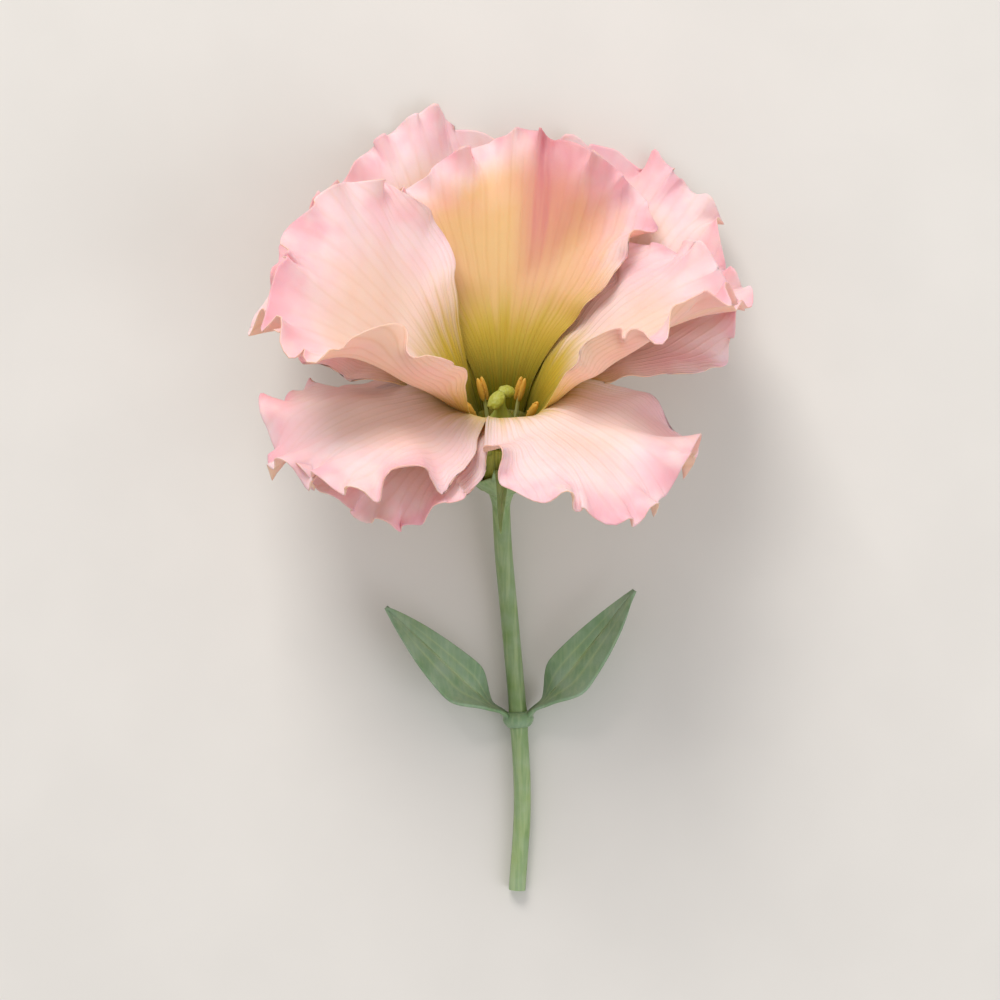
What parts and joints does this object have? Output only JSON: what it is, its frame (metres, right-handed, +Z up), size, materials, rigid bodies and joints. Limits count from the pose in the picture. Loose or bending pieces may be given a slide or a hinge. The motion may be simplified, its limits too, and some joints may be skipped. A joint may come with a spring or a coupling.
{
  "type": "lisianthus flower",
  "caption": "Open frilled lisianthus bloom, cream flushed with pink, picked with a short stalk and a pair of bracts, lying on its back petals.",
  "frame": {"origin": "on the surface that the flower lies on, under the middle of its bounding box", "axes": "+Y along the stalk from its cut end to the bloom, +Z up, +X to the right of the bloom seen from above with the bloom at the top"},
  "size_m": [0.0742, 0.1188, 0.0481],
  "materials": {
    "petal": "thin soft cream petal with a pink flush at the frilled margin and a chartreuse throat",
    "pistil": "smooth moist yellow-green",
    "anther": "powdery golden orange pollen on pale filaments",
    "sepal": "waxy mid green",
    "stalk": "smooth waxy green with a grey bloom",
    "bract": "matt blue-green leaf with fine veins"
  },
  "bodies": {
    "root": {"corolla": "petal", "pistil": "pistil", "stamens": "anther", "calyx": "sepal", "stalk": "stalk", "bracts": "bract"}
  },
  "joints": []
}
